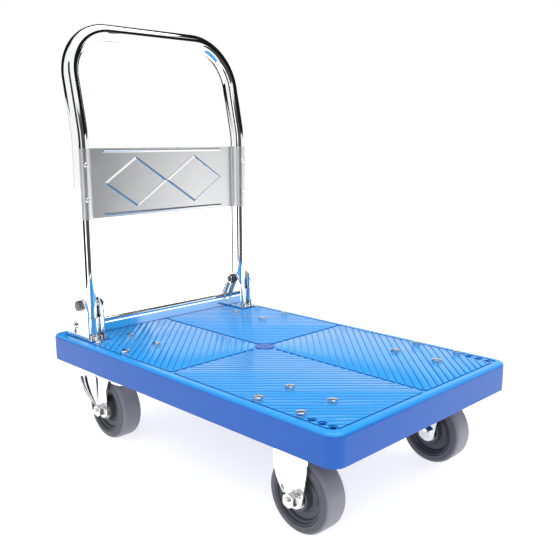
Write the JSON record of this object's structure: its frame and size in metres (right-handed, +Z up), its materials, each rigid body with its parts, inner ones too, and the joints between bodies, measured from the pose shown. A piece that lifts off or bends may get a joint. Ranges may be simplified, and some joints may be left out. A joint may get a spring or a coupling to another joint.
{
  "type": "folding platform cart",
  "caption": "Ribbed plastic deck on fixed and swivel casters, with a fold-down chromed tube handle, a sheet panel across its legs and a foot-operated release bar.",
  "frame": {"origin": "on the floor, under the centre of the deck", "axes": "+X the way the cart is pushed, the handle stands at -X; +Y the left side; +Z up"},
  "size_m": [0.68, 0.43, 0.726],
  "materials": {
    "deck_plastic": "moulded polypropylene, satin-gloss",
    "badge_plastic": "moulded plastic disc",
    "tread_rubber": "grey thermoplastic rubber, satin",
    "hub_plastic": "moulded grey polypropylene",
    "bearing_steel": "ground bearing steel",
    "sheet_stainless": "brushed stainless sheet",
    "chrome_steel": "chrome-plated steel",
    "dark_steel": "dark plated steel",
    "spring_steel": "plated spring wire",
    "rivet_aluminium": "bright aluminium",
    "zinc_steel": "bright zinc-plated steel"
  },
  "bodies": {
    "deck": {"deck_shell": "deck_plastic", "deck_badge": "badge_plastic", "caster_bolts": "zinc_steel", "caster_washers": "zinc_steel", "caster_nuts": "zinc_steel", "swivel_plate_right": "zinc_steel", "swivel_race_right": "zinc_steel", "kingpin_right": "zinc_steel", "rigid_plate_right": "zinc_steel", "rigid_fork_right": "chrome_steel", "bracket_right": "chrome_steel", "stop_cup_right": "chrome_steel", "pivot_bolt_right": "dark_steel", "pivot_nut_right": "dark_steel", "bar_spring_right": "spring_steel", "swivel_plate_left": "zinc_steel", "swivel_race_left": "zinc_steel", "kingpin_left": "zinc_steel", "rigid_plate_left": "zinc_steel", "rigid_fork_left": "chrome_steel", "bracket_left": "chrome_steel", "stop_cup_left": "chrome_steel", "pivot_bolt_left": "dark_steel", "pivot_nut_left": "dark_steel", "bar_spring_left": "spring_steel", "bracket_bolts": "zinc_steel", "bracket_nuts": "zinc_steel", "axle_bolts_front": "zinc_steel", "axle_nuts_front": "zinc_steel", "axle_sleeves_front": "zinc_steel"},
    "handle": {"handle_tube": "chrome_steel", "handle_panel": "sheet_stainless", "panel_rivets": "rivet_aluminium", "pivot_bush_right": "zinc_steel", "pivot_bush_left": "zinc_steel"},
    "foot_bar": {"foot_bar": "chrome_steel", "foot_bar_caps": "chrome_steel"},
    "swivel_right": {"swivel_fork_right": "chrome_steel", "swivel_balls_right": "bearing_steel", "axle_bolt_rear_right": "zinc_steel", "axle_nut_rear_right": "zinc_steel", "axle_sleeve_rear_right": "zinc_steel"},
    "swivel_left": {"swivel_fork_left": "chrome_steel", "swivel_balls_left": "bearing_steel", "axle_bolt_rear_left": "zinc_steel", "axle_nut_rear_left": "zinc_steel", "axle_sleeve_rear_left": "zinc_steel"},
    "wheel_rear_right": {"tread_rear_right": "tread_rubber", "wheel_hub_rear_right": "hub_plastic", "wheel_bearings_rear_right": "bearing_steel"},
    "wheel_rear_left": {"tread_rear_left": "tread_rubber", "wheel_hub_rear_left": "hub_plastic", "wheel_bearings_rear_left": "bearing_steel"},
    "wheel_front_right": {"tread_front_right": "tread_rubber", "wheel_hub_front_right": "hub_plastic", "wheel_bearings_front_right": "bearing_steel"},
    "wheel_front_left": {"tread_front_left": "tread_rubber", "wheel_hub_front_left": "hub_plastic", "wheel_bearings_front_left": "bearing_steel"}
  },
  "joints": [
    {"name": "handle_fold", "type": "hinge", "parent": "deck", "child": "handle", "pos_m": [-0.262, 0, 0.24], "axis": [0, 1, 0], "range_deg": [0, 98]},
    {"name": "foot_bar_press", "type": "slide", "parent": "deck", "child": "foot_bar", "axis": [0, 0, -1], "range_m": [0, 0.01], "stiffness_N_per_m": 600, "springref_m": -0.02, "deforming": ["bar_spring_right", "bar_spring_left"]},
    {"name": "caster_swivel_right", "type": "hinge", "parent": "deck", "child": "swivel_right", "pos_m": [-0.176, -0.1585, 0.1218], "axis": [0, 0, 1], "continuous": true},
    {"name": "caster_swivel_left", "type": "hinge", "parent": "deck", "child": "swivel_left", "pos_m": [-0.176, 0.1585, 0.1218], "axis": [0, 0, 1], "continuous": true},
    {"name": "wheel_spin_rear_right", "type": "hinge", "parent": "swivel_right", "child": "wheel_rear_right", "pos_m": [-0.224, -0.1585, 0.055], "axis": [0, 1, 0], "continuous": true},
    {"name": "wheel_spin_rear_left", "type": "hinge", "parent": "swivel_left", "child": "wheel_rear_left", "pos_m": [-0.224, 0.1585, 0.055], "axis": [0, 1, 0], "continuous": true},
    {"name": "wheel_spin_front_right", "type": "hinge", "parent": "deck", "child": "wheel_front_right", "pos_m": [0.2445, -0.1585, 0.055], "axis": [0, 1, 0], "continuous": true},
    {"name": "wheel_spin_front_left", "type": "hinge", "parent": "deck", "child": "wheel_front_left", "pos_m": [0.2445, 0.1585, 0.055], "axis": [0, 1, 0], "continuous": true}
  ]
}
